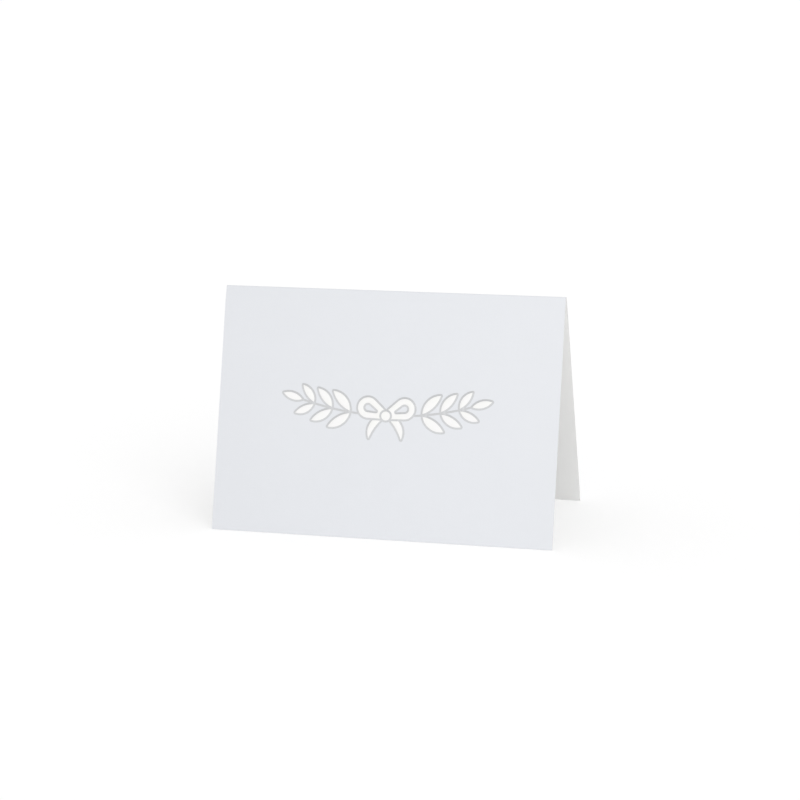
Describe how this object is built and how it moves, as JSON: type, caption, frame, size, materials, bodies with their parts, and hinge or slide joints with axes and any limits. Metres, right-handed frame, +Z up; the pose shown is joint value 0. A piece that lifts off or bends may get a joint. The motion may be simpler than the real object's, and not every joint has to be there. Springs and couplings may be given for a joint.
{
  "type": "greeting card",
  "caption": "Folded paper greeting card standing like a tent, with a blank inside and a small stamped bow and leaf ornament on its front panel.",
  "frame": {"origin": "middle of the footprint, on the surface that the card stands on", "axes": "+X along the fold, -Y towards the front panel with the ornament, +Z up"},
  "size_m": [0.148, 0.0674, 0.0995],
  "materials": {
    "board": "matte",
    "silver_foil": "satin",
    "pearl_film": "satin"
  },
  "bodies": {
    "root": {"card": "board", "silver_outline": "silver_foil", "pearl_fill": "pearl_film"}
  },
  "joints": []
}
